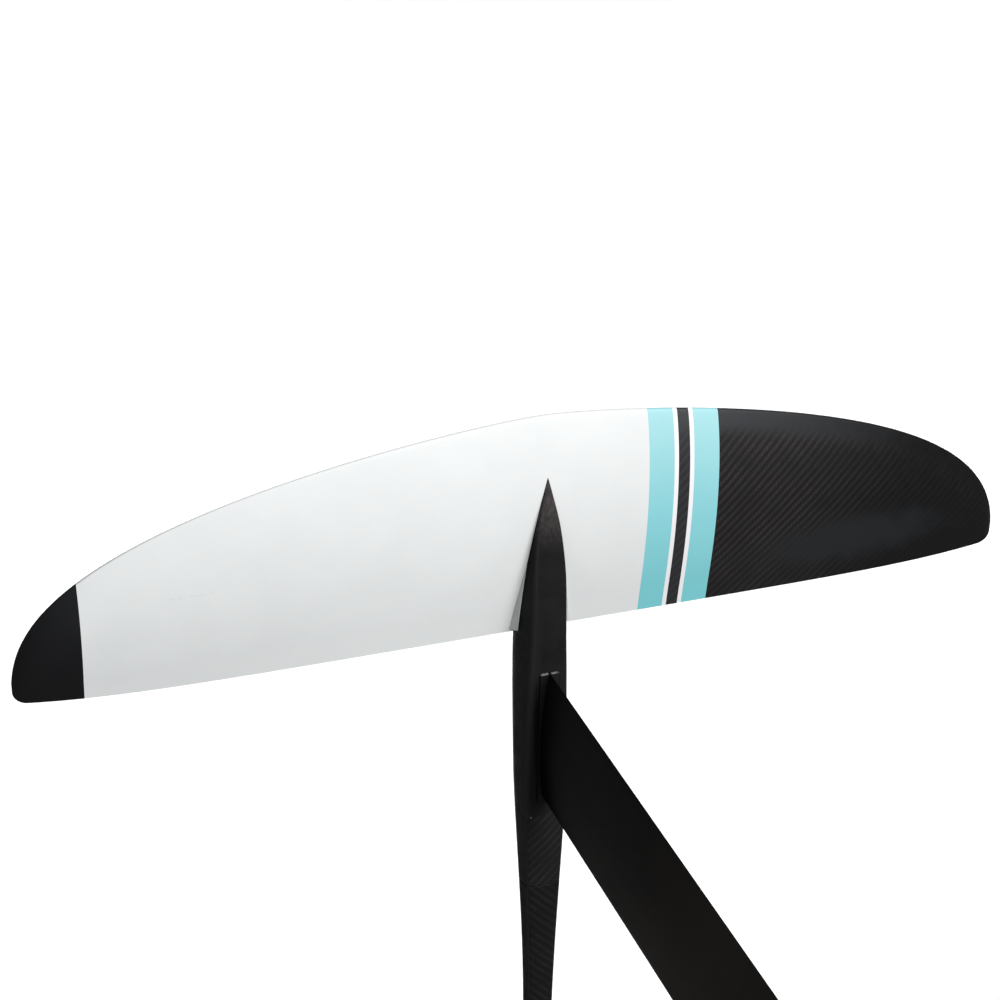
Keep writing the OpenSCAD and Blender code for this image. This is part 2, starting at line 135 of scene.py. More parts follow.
def place(x, back, up):
    """Millimetres from the wing's root leading edge, as a point in the row frame."""
    return Vector((x * MM, ROOT_LEAD_Y - back * MM, CHORD_PLANE_Z + up * MM))


def place_all(points):
    p = np.asarray(points, float)
    out = np.empty_like(p)
    out[..., 0] = p[..., 0] * MM
    out[..., 1] = ROOT_LEAD_Y - p[..., 1] * MM
    out[..., 2] = CHORD_PLANE_Z + p[..., 2] * MM
    return out


# ---- Camera ----

cam_data = bpy.data.cameras.new("camera")
cam_data.lens = 85.5
cam_data.sensor_width = 36.0
cam_data.clip_start = 0.05
cam_data.clip_end = 60.0
camera = bpy.data.objects.new("camera", cam_data)
scene.collection.objects.link(camera)
scene.camera = camera
CAMERA_AZIMUTH, CAMERA_ELEVATION, CAMERA_ROLL = (math.radians(a) for a in (213.04, 56.37, 142.93))
camera.matrix_world = (
    Matrix.Translation(place(-579.5, -771.6, 1504.2))
    @ Matrix.Rotation(CAMERA_AZIMUTH, 4, "Z")
    @ Matrix.Rotation(math.pi / 2 - CAMERA_ELEVATION, 4, "X")
    @ Matrix.Rotation(CAMERA_ROLL, 4, "Z")
)

# ---- Mesh helpers ----


def mesh_object(name, points, faces):
    mesh = bpy.data.meshes.new(name)
    mesh.from_pydata([tuple(p) for p in points], [], faces)
    mesh.validate()
    bm = bmesh.new()
    bm.from_mesh(mesh)
    bmesh.ops.remove_doubles(bm, verts=bm.verts, dist=0.002 * MM)
    bmesh.ops.dissolve_degenerate(bm, edges=bm.edges, dist=0.002 * MM)
    bmesh.ops.recalc_face_normals(bm, faces=bm.faces)
    bm.to_mesh(mesh)
    bm.free()
    obj = bpy.data.objects.new(name, mesh)
    scene.collection.objects.link(obj)
    return obj


def bake_modifiers(obj):
    dg = bpy.context.evaluated_depsgraph_get()
    mesh = bpy.data.meshes.new_from_object(obj.evaluated_get(dg))
    obj.modifiers.clear()
    obj.data = mesh
    obj.data.name = obj.name


def combine(obj, other, how):
    """Cuts other out of obj, or joins it to obj, and removes other."""
    mod = obj.modifiers.new(how, "BOOLEAN")
    mod.operation = how
    mod.solver = "EXACT"
    mod.object = other
    bake_modifiers(obj)
    bpy.data.objects.remove(other)


def smooth(obj, crease_deg):
    mesh = obj.data
    mesh.polygons.foreach_set("use_smooth", [True] * len(mesh.polygons))
    mesh.set_sharp_from_angle(angle=math.radians(crease_deg))


def bevel(obj, width, limit_deg, segments=3):
    mod = obj.modifiers.new("edges", "BEVEL")
    mod.width = width * MM
    mod.segments = segments
    mod.limit_method = "ANGLE"
    mod.angle_limit = math.radians(limit_deg)
    mod.miter_outer = "MITER_ARC"


def piece(obj, slot, material, *nodes, crease=35):
    """Finishes a piece that stands for CAD nodes."""
    smooth(obj, crease)
    obj.data.materials.clear()
    obj.data.materials.append(material)
    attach(obj, BODY)
    if nodes:
        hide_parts(*nodes)
    return obj


def grid_quads(rows, cols, first=0, wrap=False):
    count = cols if wrap else cols - 1
    return [
        (first + i * cols + j, first + (i + 1) * cols + j,
         first + (i + 1) * cols + (j + 1) % cols, first + i * cols + (j + 1) % cols)
        for i in range(rows - 1)
        for j in range(count)
    ]


def loft(name, rings):
    """A closed solid through rings that have the same number of points."""
    rings = np.asarray(rings, float)
    rows, cols = rings.shape[:2]
    faces = grid_quads(rows, cols, wrap=True)
    faces.append(tuple(range(cols)))
    faces.append(tuple((rows - 1) * cols + j for j in range(cols)))
    return mesh_object(name, place_all(rings).reshape(-1, 3), faces)


def column(back, low, high, radius, top_radius=None, steps=48):
    """A round column or cone on the centreline, as a cutter."""
    ends = ((low, radius), (high, radius if top_radius is None else top_radius))
    turns = [2 * math.pi * k / steps for k in range(steps)]
    rings = [[(r * math.cos(a), back + r * math.sin(a), up) for a in turns] for up, r in ends]
    return loft("cutter", rings)


def screw_cutters(back, face, radius, reach=20):
    """The countersunk hole of a screw that goes up from a face."""
    yield column(back, face - reach, face + 0.02, 2 * radius + GAP)
    yield column(back, face, face + radius, 2 * radius + GAP, radius + GAP)
    yield column(back, face - 1, face + reach, radius + GAP)


def outline_prism(outline, low, high):
    return loft("cutter", [[(x, b, up) for x, b in outline] for up in (low, high)])


def round_rect(width, length, radius, back, steps=10):
    """Corners of a rounded rectangle round a centre at that distance back."""
    out = []
    for k, (sx, sb) in enumerate(((1, 1), (-1, 1), (-1, -1), (1, -1))):
        for n in range(steps + 1):
            a = math.pi / 2 * (k + n / steps)
            out.append((sx * (width / 2 - radius) + radius * math.cos(a),
                        back + sb * (length / 2 - radius) + radius * math.sin(a)))
    return out


# ---- Wing surfaces, by the same rules as the CAD model ----


def bulge(u, front_power, rear_power):
    """A section's curve over the chord, with its fullest point at 1."""
    peak = front_power / (front_power + rear_power)
    return (u / peak) ** front_power * ((1 - u) / (1 - peak)) ** rear_power


# Shares of the half span: the end of the planform, where the section thins, where the corner starts
TIP_END = 0.998
TIP_ROUND = 0.985
TIP_CORNER = 0.972
# Share of the chord that the corner takes off
TIP_CORNER_DEPTH = 0.05
# Half the thickness of the blunt trailing edge and of the small round on the leading edge
EDGE_HALF = 0.35
NOSE_HALF = 0.9
# Share of the chord that the small round takes
NOSE_LENGTH = 0.01


def lead_back(chord, s):
    return 1.004 * chord * (1 - (1 - (s * TIP_END) ** 1.483) ** 0.39)


def trail_back(chord, s):
    q = s * TIP_END
    t = ((q - TIP_CORNER) / (TIP_END - TIP_CORNER)).clip(0, 1)
    corner = TIP_CORNER_DEPTH * (1 - np.sqrt(1 - t**2))
    return chord * (1 + 0.0565 * q**2 - 0.065 * q**6 - corner)


def droop(half, s):
    return half * (0.0094 * (s * TIP_END) ** 4 - 0.043 * (s * TIP_END) ** 2)


def rise(chord, s, u, depth, size=1.0):
    """Height of a surface over the chord plane, with a small nose radius and a blunt trailing edge."""
    local = trail_back(chord, s) - lead_back(chord, s)
    tip = np.sqrt(np.clip(1 - ((s - TIP_ROUND) / (1 - TIP_ROUND)).clip(0, 1) ** 2, 0, 1))
    quarter_round = np.sqrt(np.clip(1 - (1 - (u / NOSE_LENGTH).clip(0, 1)) ** 2, 0, 1))
    nose = NOSE_HALF * size * quarter_round * np.exp(-u / (5 * NOSE_LENGTH))
    edge = EDGE_HALF * size * (u.clip(0.9, 1) - 0.9) / 0.1
    return (depth * local * bulge(u, 0.78, 1.12) + nose + edge) * tip


def wing_grid(half, chord, depth, origin_back, origin_up, rows, cols, inset=0.0, size=1.0):
    """Points of a wing surface; a negative depth gives the lower one. An inset moves it inwards."""
    s = np.sin(np.linspace(-0.5, 0.5, rows) * math.pi)[:, None] * np.ones((1, cols))
    u = ((1 - np.cos(np.linspace(0, 1, cols) * math.pi)) / 2)[None, :] * np.ones((rows, 1))
    a = np.abs(s)
    h = rise(chord, a, u, abs(depth), size)
    h = np.maximum(h - inset, 0) * math.copysign(1, depth)
    back = lead_back(chord, a) + u * (trail_back(chord, a) - lead_back(chord, a))
    return np.stack([s * half, origin_back + back, origin_up + droop(half, a) + h], -1)


def rim(rows, cols):
    return (
        [j for j in range(cols)]
        + [i * cols + cols - 1 for i in range(1, rows)]
        + [(rows - 1) * cols + j for j in range(cols - 2, -1, -1)]
        + [i * cols for i in range(rows - 2, 0, -1)]
    )


def closed_pair(name, top, bottom):
    """A closed solid between two grids that share their outline."""
    rows, cols = top.shape[:2]
    size = rows * cols
    edge = rim(rows, cols)
    faces = grid_quads(rows, cols) + grid_quads(rows, cols, size)
    faces += [
        (edge[k], edge[(k + 1) % len(edge)], size + edge[(k + 1) % len(edge)], size + edge[k])
        for k in range(len(edge))
    ]
    points = np.concatenate([top.reshape(-1, 3), bottom.reshape(-1, 3)])
    return mesh_object(name, place_all(points), faces)


# ---- Fuselage sections ----


def share(value, low, high):
    return min(1.0, max(0.0, (value - low) / (high - low)))


def fus_half_width(back):
    if back < WIDEST_BACK:
        return FUS_HALF_W * (1 - (1 - share(back, NOSE_BACK, WIDEST_BACK)) ** 3.6)
    if back < TAIL_END - 20:
        spare = FUS_HALF_W - FUS_TAIL_HALF_W
        return FUS_TAIL_HALF_W + spare * (1 - share(back, WIDEST_BACK, TAPER_END) ** 1.5) ** 2.35
    return FUS_TAIL_HALF_W - 5 * share(back, TAIL_END - 20, TAIL_END) ** 2


def fus_top_at(back):
    if back < LEVEL_BACK:
        return NOSE_TOP + (FUS_TOP - NOSE_TOP) * (1 - (1 - share(back, NOSE_BACK, LEVEL_BACK)) ** 2)
    return FUS_TOP - 4 * share(back, TAIL_END - 50, TAIL_END) ** 2


def fus_belly_at(back):
    return TAIL_BED_UP - 31.5 * (1 - share(back, LEVEL_BACK, TAPER_END) ** 1.3) ** 2.2


def seam_groove(back):
    """Depth of the fine groove between the fuselage's two parts."""
    return 0.6 * max(0.0, 1 - abs(back - SEAM_BACK) / 0.8)


def soften(points, times):
    """Chaikin's corner cutting, with the ends kept."""
    p = np.asarray(points, float)
    for _ in range(times):
        near = 0.75 * p[:-1] + 0.25 * p[1:]
        far = 0.25 * p[:-1] + 0.75 * p[1:]
        inner = np.stack([near, far], 1).reshape(-1, 2)
        p = np.concatenate([p[:1], inner[1:-1], p[-1:]])
    return p


def chine_share(back):
    """Half width at the chine, as a share of the widest."""
    return 0.76 + 0.24 * (1 - share(back, 85, 165)) ** 1.5 + 0.1 * share(back, LEVEL_BACK, 360)


def chine_up(back, mid):
    return fus_top_at(back) - 0.12 * (fus_top_at(back) - mid)


def side_x(back, t):
    """Half width of a side at share t of the way down from the chine to the widest point."""
    c = chine_share(back)
    return fus_half_width(back) * (c + (1 - c) * t**0.85)


def deck(back, mid):
    top, chine = fus_top_at(back), chine_up(back, mid)
    corners = [(t * side_x(back, 0), top - (top - chine) * t**2) for t in (0, 0.3, 0.6, 1)]
    corners += [(side_x(back, t), chine * (1 - t) + mid * t) for t in (0.6, 1.0)]
    return soften(corners, 3)


def keel(back, mid, count=22):
    w, belly = fus_half_width(back), fus_belly_at(back)
    a = np.linspace(0, math.pi / 2, count)
    return np.stack([w * np.cos(a).clip(0) ** 0.8, mid - (mid - belly) * np.sin(a) ** 0.8], 1)


def bed(back, mid, count=22):
    w = fus_half_width(back)
    t = np.linspace(0, 1, count)
    x = w * np.minimum(1, (1 - t) / 0.6)
    z = mid + (BED_UP - mid) * np.minimum(1, t / 0.4)
    return np.stack([x, z], 1)


def ring(back, half):
    groove = seam_groove(back)
    width = max(half[:, 0].max(), 0.1)
    x = half[:, 0] * (1 - groove / width)
    z = half[:, 1] - groove * np.linspace(1, 0, len(half))
    right = np.stack([x, np.full(len(x), back), z], 1)
    left = right[-2:0:-1] * (-1, 1, 1)
    return np.concatenate([right, left])


def nose_mid(back):
    return BED_UP + 0.7 + 0.52 * (fus_top_at(back) - BED_UP) * (1 - share(back, 130, STEP_BACK))


def nose_ring(back):
    mid = nose_mid(back)
    return ring(back, np.concatenate([deck(back, mid), bed(back, mid)[1:]]))


def body_ring(back):
    mid = fus_belly_at(back) + 0.45 * (fus_top_at(back) - fus_belly_at(back))
    return ring(back, np.concatenate([deck(back, mid), keel(back, mid)[1:]]))


def nose_outline(grow, count=40):
    """The nose seen from above, grown by a clearance, back to past the step."""
    backs = [NOSE_BACK + (STEP_BACK + 3 - NOSE_BACK) * (k / count) ** 1.6 for k in range(1, count + 1)]
    right = [(fus_half_width(b) + grow, b) for b in backs]
    return [(0, NOSE_BACK - 2 * grow)] + right + [(-x, b) for x, b in reversed(right)]


# ---- Mast section ----


def mast_half(u):
    return MAST_THICK / 2 * bulge(u, 0.72, 0.5)


def mast_outline(count=60):
    u = (1 - np.cos(np.linspace(0, math.pi, count))) / 2
    x = mast_half(u) + 0.5 * u
    right = list(zip(x, MAST_BACK + (u - 0.5) * MAST_CHORD))
    return right + [(-a, b) for a, b in reversed(right[1:])]


# ---- Material helpers ----


class Graph:
    """Short names for the nodes of one material."""

    def __init__(self, name):
        self.material = bpy.data.materials.new(name)
        self.material.use_nodes = True
        self.tree = self.material.node_tree
        self.shader = self.tree.nodes["Principled BSDF"]
        self.where = self.node("ShaderNodeTexCoord").outputs["Object"]
        split = self.node("ShaderNodeSeparateXYZ")
        self.link(self.where, split.inputs[0])
        self.x, self.y, self.z = split.outputs

    def node(self, kind, **settings):
        n = self.tree.nodes.new(kind)
        for key, value in settings.items():
            setattr(n, key, value)
        return n

    def link(self, a, b):
        self.tree.links.new(a, b)

    def put(self, socket, value):
        if isinstance(value, bpy.types.NodeSocket):
            self.link(value, socket)
        else:
            socket.default_value = value

    def math(self, operation, *values, clamp=False):
        n = self.node("ShaderNodeMath", operation=operation, use_clamp=clamp)
        for socket, value in zip(n.inputs, values):
            self.put(socket, value)
        return n.outputs[0]

    def product(self, first, *others):
        for value in others:
            first = self.math("MULTIPLY", first, value)
        return first

    def range(self, value, low, high, out_low=0.0, out_high=1.0, smooth=False):
        n = self.node("ShaderNodeMapRange", interpolation_type="SMOOTHSTEP" if smooth else "LINEAR")
        for socket, v in zip(n.inputs, (value, low, high, out_low, out_high)):
            self.put(socket, v)
        return n.outputs[0]

    def mix(self, factor, a, b):
        n = self.node("ShaderNodeMix", data_type="RGBA")
        self.put(n.inputs[0], factor)
        self.put(n.inputs[6], a)
        self.put(n.inputs[7], b)
        return n.outputs[2]

    def shaded(self, colour, factor):
        """A colour times a grey factor."""
        n = self.node("ShaderNodeMix", data_type="RGBA", blend_type="MULTIPLY")
        for socket, value in zip((n.inputs[0], n.inputs[6], n.inputs[7]), (1.0, colour, factor)):
            self.put(socket, value)
        return n.outputs[2]

    def blend(self, factor, a, b):
        n = self.node("ShaderNodeMix", data_type="FLOAT")
        self.put(n.inputs[0], factor)
        self.put(n.inputs[2], a)
        self.put(n.inputs[3], b)
        return n.outputs[0]

    def scaled(self, scale):
        n = self.node("ShaderNodeVectorMath", operation="MULTIPLY")
        self.link(self.where, n.inputs[0])
        n.inputs[1].default_value = scale
        return n.outputs[0]

    def noise(self, size, detail=3.0, rough=0.5, stretch=(1, 1, 1)):
        """Noise whose blobs are about that many millimetres across."""
        n = self.node("ShaderNodeTexNoise")
        n.inputs["Scale"].default_value = 1.0
        n.inputs["Detail"].default_value = detail
        n.inputs["Roughness"].default_value = rough
        self.link(self.scaled([s / (size * MM) for s in stretch]), n.inputs["Vector"])
        return n.outputs["Fac"]

    def normal_parts(self):
        split = self.node("ShaderNodeSeparateXYZ")
        self.link(self.node("ShaderNodeNewGeometry").outputs["Normal"], split.inputs[0])
        return split.outputs

    def bump(self, height, depth, strength=1.0):
        n = self.node("ShaderNodeBump")
        n.inputs["Strength"].default_value = strength
        n.inputs["Distance"].default_value = depth * MM
        self.link(height, n.inputs["Height"])
        self.link(n.outputs[0], self.shader.inputs["Normal"])

    def finish(self, colour, roughness, metallic=0.0, specular=0.5, coat=0.0, coat_roughness=0.1):
        self.put(self.shader.inputs["Base Color"], colour)
        self.put(self.shader.inputs["Roughness"], roughness)
        self.shader.inputs["Metallic"].default_value = metallic
        self.put(self.shader.inputs["Specular IOR Level"], specular)
        self.shader.inputs["Coat Weight"].default_value = coat
        self.shader.inputs["Coat Roughness"].default_value = coat_roughness
        return self.material


def twill(g, across, along, tow):
    """Two-by-two twill of tows that many millimetres wide. Its ridges run where across equals along.

    Returns the height of the cloth, 1 where a tow of the first direction is on top, and a soft
    diagonal wave of one ridge.
    """
    u = g.math("DIVIDE", across, tow * MM)
    v = g.math("DIVIDE", along, tow * MM)
    fu, fv = g.math("FRACT", u), g.math("FRACT", v)
    step = g.math("SUBTRACT", g.math("FLOOR", u), g.math("FLOOR", v))
    k = g.math("FLOORED_MODULO", step, 4.0)
    over = g.math("LESS_THAN", k, 1.5)
    first_float = g.math("MULTIPLY", g.math("ADD", g.math("SUBTRACT", 1.0, k), fv), 0.5)
    second_float = g.math("MULTIPLY", g.math("ADD", g.math("SUBTRACT", k, 2.0), fu), 0.5)

    def arch(t):
        return g.math("SINE", g.math("MULTIPLY", t, math.pi), clamp=True)

    def tow_height(side, length):
        return g.product(g.math("POWER", arch(side), 0.6), g.math("POWER", arch(length), 0.35))

    height = g.blend(over, tow_height(fv, second_float), tow_height(fu, first_float))
    phase = g.math("MULTIPLY", g.math("SUBTRACT", u, v), math.pi / 2)
    wave = g.math("MULTIPLY_ADD", g.math("SINE", phase), 0.5, 0.5)
    return height, over, wave


# ---- Materials ----

WHITE = (0.80, 0.815, 0.812, 1.0)
PINSTRIPE = (0.85, 0.84, 0.86, 1.0)
BLUE_FRONT = (0.34, 0.63, 0.66, 1.0)
BLUE_MIDDLE = (0.25, 0.61, 0.66, 1.0)
BLUE_REAR = (0.2, 0.59, 0.63, 1.0)
CARBON_DARK = (0.0035, 0.0035, 0.004, 1.0)
CARBON_LIGHT = (0.042, 0.036, 0.037, 1.0)
WOVEN_DARK = (0.0095, 0.0088, 0.0092, 1.0)
# Painted reflection along the bare leading edge
LEAD_SHEEN = (0.030, 0.0315, 0.035, 1.0)
STRIPE_RESIN = (0.05, 0.053, 0.058, 1.0)
# Painted sheen on a patch of bare carbon
SHEEN_PATCH = (0.020, 0.0225, 0.024, 1.0)
TIP_SHEEN = (0.015, 0.0155, 0.017, 1.0)
SCUFF = (0.35, 0.35, 0.36, 1.0)

PORT_PAINT_EDGE = -357.5
FIRST_BLUE = 84.2
STRIPE_MIDDLE = 114.0
# Bands of the upper skin from the bare port tip to starboard: where each starts, and what it is
BANDS = [
    (PORT_PAINT_EDGE, "white"), (FIRST_BLUE, "blue"), (105.5, "pinstripe"), (109.1, "carbon"),
    (118.8, "pinstripe"), (122.4, "blue"), (144.1, "carbon"),
]
# Width of one tow of the carbon cloth
TOW = 2.1


def carbon_cloth(g, strength, flip=False, dark=CARBON_DARK, light=CARBON_LIGHT):
    """Colour and height of woven carbon; strength is how clearly the weave shows."""
    drift = g.range(g.noise(28, detail=2), 0.2, 0.8, -0.9 * MM, 0.9 * MM)
    along = g.math("MULTIPLY", g.y, -1.0) if flip else g.y
    height, over, wave = twill(g, g.math("ADD", g.x, drift), along, TOW)
    tone = g.math("POWER", g.blend(0.45, g.product(over, height), wave), 1.3)
    strands = g.range(g.noise(0.7, detail=2), 0.3, 0.75, 0.5, 1.3)
    glints = g.range(g.noise(1.3, detail=1), 0.58, 0.7, 0.0, 0.6)
    tone = g.math("MULTIPLY", tone, g.math("ADD", strands, glints))
    tone = g.math("MULTIPLY", tone, strength, clamp=True)
    return g.mix(tone, dark, light), height


def near_oval(g, x, back, radius_x, radius_back, ragged):
    """1 in the middle of an oval patch and 0 outside it; ragged breaks up its fading edge."""
    middle = place(x, back, 0)
    across = g.math("DIVIDE", g.math("SUBTRACT", g.x, middle.x), radius_x * MM)
    along = g.math("DIVIDE", g.math("SUBTRACT", g.y, middle.y), radius_back * MM)
    off = g.math("SQRT", g.math("ADD", g.math("POWER", across, 2.0), g.math("POWER", along, 2.0)))
    wander = g.range(g.noise(18, detail=3), 0.3, 0.7, -ragged, ragged)
    return g.range(g.math("ADD", off, wander), 0.35, 1.0, 1.0, 0.0, smooth=True)


def bare_carbon(g, from_lead, from_trail):
    """Colour and height of the unpainted skin: clear weave inboard, plain in front and outboard, with
    painted reflections.
    """
    outward = g.math("ABSOLUTE", g.x)
    inboard = g.range(outward, 180 * MM, 330 * MM, 1.0, 0.0, smooth=True)
    at_tip = g.range(g.x, -1 * MM, 1 * MM, 0.02, 0.14)
    patches = g.range(g.noise(26, detail=3), 0.35, 0.65, 0.62, 1.15)
    behind_lead = g.range(from_lead, 7.0, 20.0, smooth=True)
    # The weave fades and darkens towards the trailing edge: painted shade.
    before_trail = g.range(from_trail, 4.0, 46.0, 0.62, 1.0)
    # A painted sheen on a patch near the trailing edge, where the weave shows less.
    sheen_patch = near_oval(g, 268, 151, 115, 30, 0.14)
    veiled = g.range(sheen_patch, 0.0, 1.0, 1.0, 0.35)
    shown = g.math("MULTIPLY_ADD", inboard, 0.6, at_tip)
    strength = g.product(shown, patches, behind_lead, before_trail, veiled)
    cloth, height = carbon_cloth(g, strength, dark=g.mix(inboard, CARBON_DARK, WOVEN_DARK))

    # A painted reflection along the leading edge, strongest inboard.
    at_lead = g.range(from_lead, 9.0, 24.0, 1.0, 0.0, smooth=True)
    lead_sheen = g.product(g.range(outward, 150 * MM, 325 * MM, 1.0, 0.0), at_lead)
    cloth = g.mix(lead_sheen, cloth, LEAD_SHEEN)
    cloth = g.mix(g.product(sheen_patch, 0.5), cloth, SHEEN_PATCH)
    near_paint = g.range(g.x, -400 * MM, -355 * MM)
    sheen = g.product(near_paint, g.range(from_lead, 5.0, 75.0, 1.0, 0.12, smooth=True))
    port_tip = g.math("LESS_THAN", g.x, -340 * MM)
    cloth = g.mix(g.product(port_tip, g.math("MULTIPLY_ADD", sheen, 0.75, 0.1)), cloth, TIP_SHEEN)
    from_stripe = g.math("ABSOLUTE", g.math("SUBTRACT", g.x, STRIPE_MIDDLE * MM))
    stripe = g.math("LESS_THAN", from_stripe, 8 * MM)
    cloth = g.mix(g.product(stripe, 0.3), cloth, STRIPE_RESIN)
    return cloth, height


def band_paint(g, from_lead):
    """Colour of the painted bands, and 1 where there is paint."""
    # The blue is lighter and paler towards the leading edge: painted light.
    blue = g.mix(g.range(from_lead, 10.0, 90.0), BLUE_FRONT, BLUE_MIDDLE)
    blue = g.mix(g.range(from_lead, 90.0, 165.0), blue, BLUE_REAR)
    tones = {"carbon": CARBON_DARK, "white": WHITE, "blue": blue, "pinstripe": PINSTRIPE}
    colour, paint = CARBON_DARK, 0.0
    for start, band in BANDS:
        past = g.math("GREATER_THAN", g.x, start * MM)
        colour = g.mix(past, colour, tones[band])
        paint = g.blend(past, paint, 0.0 if band == "carbon" else 1.0)
    return colour, paint


def paint_shade(g, from_lead, from_trail):
    """Factor on the paint's colour, below 1 with painted shade on the edges, on the saddle's wall and
    towards starboard.
    """
    blotches = g.range(g.noise(35, detail=4), 0.35, 0.65, 0.975, 1.0)
    specks = g.range(g.noise(1.3, detail=2), 0.2, 0.75, 0.985, 1.0)
    # Painted shade along the rounded leading and trailing edges.
    thin = g.range(g.math("MINIMUM", from_lead, from_trail), 0.0, 0.5, 0.8, 1.0)
    # Painted shade on the saddle's steep wall, which faces away from the light.
    wall = g.range(g.math("ABSOLUTE", g.normal_parts()[0]), 0.3, 0.6, 1.0, 0.66)
    # Painted shade: darker towards starboard, and near the leading edge of the middle and starboard white.
    at_lead = g.range(from_lead, 10.0, 60.0, 0.96, 1.0)
    falloff_shade = g.product(
        g.range(g.x, -70 * MM, 70 * MM, 1.0, 0.93),
        g.blend(g.range(g.x, -200 * MM, 0.0), 1.0, at_lead),
    )
    falloff_shade = g.math("MAXIMUM", falloff_shade, g.range(g.x, (FIRST_BLUE - 0.2) * MM, (FIRST_BLUE + 0.2) * MM))
    return g.product(blotches, specks, thin, wall, falloff_shade)


def painted_skin():
    g = Graph("painted_skin")
    from_lead, from_trail = (
        g.node("ShaderNodeAttribute", attribute_name=name).outputs["Fac"]
        for name in ("from_lead", "from_trail")
    )
    cloth, height = bare_carbon(g, from_lead, from_trail)
    colour, paint = band_paint(g, from_lead)
    painted = g.shaded(colour, paint_shade(g, from_lead, from_trail))
    painted = g.mix(g.product(scuff_mask(g), 0.22), painted, SCUFF)
    rough = g.blend(
        paint,
        g.range(g.noise(9, detail=3), 0.3, 0.7, 0.36, 0.5),
        g.range(g.noise(14, detail=3), 0.3, 0.7, 0.3, 0.4),
    )
    depth = g.range(g.x, -1 * MM, 1 * MM, 0.04, 0.35)
    relief = g.blend(paint, g.product(height, depth), g.math("MULTIPLY_ADD", height, 0.03, 1.0))
    g.bump(relief, 0.06, strength=0.6)
    return g.finish(g.mix(paint, cloth, painted), rough, specular=g.blend(paint, 0.17, 0.22))


def scuff_mask(g):
    """A faint short rub across the paint of the port side."""
    start, end = place(-291, 108, 0), place(-258, 106, 0)
    slope = (end.y - start.y) / (end.x - start.x)
    along = g.math("SUBTRACT", g.x, start.x)
    line = g.math("SUBTRACT", g.math("SUBTRACT", g.y, start.y), g.product(along, slope))
    wobble = g.range(g.noise(8, detail=2), 0.0, 1.0, -1.2 * MM, 1.2 * MM)
    off = g.math("ABSOLUTE", g.math("ADD", line, wobble))
    thin = g.range(off, 0.15 * MM, 0.6 * MM, 1.0, 0.0)
    inside = g.product(g.math("GREATER_THAN", g.x, start.x), g.math("LESS_THAN", g.x, end.x))
    broken = g.range(g.noise(3, detail=2), 0.45, 0.6)
    return g.product(thin, inside, broken)


def satin_carbon():
    g = Graph("satin_carbon")
    cloth, height = carbon_cloth(g, g.range(g.noise(38, detail=2), 0.35, 0.65, 0.25, 0.65), dark=WOVEN_DARK)
    g.bump(height, 0.035, strength=0.6)
    rough = g.range(g.noise(9, detail=3), 0.3, 0.7, 0.36, 0.5)
    return g.finish(cloth, rough, specular=0.25)


def fuselage_carbon(name, flip, weave_from, lean, clear, dark):
    """The matt wrap of the fuselage, with its weave showing on the deck behind a slanting edge."""
    g = Graph(name)
    across, _, up = g.normal_parts()
    edge = g.math("MULTIPLY_ADD", g.x, lean, ROOT_LEAD_Y - weave_from * MM)
    behind = g.range(g.math("SUBTRACT", edge, g.y), 0.0, 2 * MM)
    shown = g.product(behind, g.range(up, 0.72, 0.86))

    dull, bright = (0.0095, 0.0095, 0.0098, 1), (0.015, 0.0145, 0.015, 1)
    plain = g.mix(g.range(g.noise(22, detail=4), 0.3, 0.7), dull, bright)
    # Painted light on the port chine: surfaces that turn towards port are lighter.
    port_chine_light = g.range(across, -0.15, -0.5)
    plain = g.mix(port_chine_light, plain, (0.023, 0.0225, 0.0225, 1))
    # Painted shade: the steep sides darker than the deck.
    upright = g.range(up, 0.1, 0.5, 1.0, 0.0)
    plain = g.mix(upright, plain, (0.0026, 0.0023, 0.0022, 1))
    # Painted shadow in a strip beside the mast socket's port edge.
    slot_shadow = near_oval(g, -10.2, 262, 2.4, 52, 0.15)
    plain = g.mix(slot_shadow, plain, (0.004, 0.004, 0.004, 1))
    # Fine creases towards the nose, under a lighter brownish tone that is a painted highlight.
    nose = g.range(g.y, ROOT_LEAD_Y - 112 * MM, ROOT_LEAD_Y - 66 * MM, smooth=True)
    creases = g.noise(2.2, detail=3, stretch=(1, 0.45, 1))
    rubbed_and_sheen = g.product(nose, g.range(creases, 0.35, 0.68, 0.4, 1.0))
    plain = g.mix(rubbed_and_sheen, plain, (0.068, 0.059, 0.059, 1))

    strength = g.product(shown, g.range(g.noise(16, detail=3), 0.35, 0.65, 0.35 * clear, clear))
    cloth, height = carbon_cloth(g, strength, flip=flip, dark=dark, light=(0.037, 0.034, 0.034, 1))
    relief = g.product(height, g.range(shown, 0.0, 1.0, 0.12, clear))
    g.bump(g.math("ADD", relief, rubbed_and_sheen), 0.09, strength=0.6)
    # A small light spot at the notch on the deck: a painted highlight.
    notch_highlight = near_oval(g, -12.7, 347.3, 1.1, 0.8, 0.1)
    colour = g.mix(notch_highlight, g.mix(shown, plain, cloth), (0.2, 0.19, 0.18, 1))
    rough = g.range(g.noise(12, detail=4), 0.3, 0.7, 0.42, 0.58)
    return g.finish(colour, rough, specular=g.range(up, 0.1, 0.5, 0.03, 0.05))


def anodised(g, tones):
    """Colour and roughness of black anodising between two tones, with its drawing grain upright."""
    grain = drawn_grain(g)
    clouds = g.range(g.noise(45, detail=3), 0.3, 0.7)
    low, high = ((t, t * 0.95, t * 0.92, 1) for t in tones)
    rough = g.math("ADD", g.range(grain, 0.2, 0.8, 0.37, 0.47), g.product(clouds, 0.08))
    return g.mix(clouds, low, high), rough


def drawn_grain(g):
    """Fine upright lines, as on an extrusion, cut into the surface."""
    grain = g.noise(0.6, detail=3, stretch=(1, 1, 0.01))
    g.bump(grain, 0.012, strength=0.4)
    return grain


def plate_aluminium():
    g = Graph("plate_aluminium")
    colour, rough = anodised(g, (0.006, 0.009))
    return g.finish(colour, rough, specular=0.2)


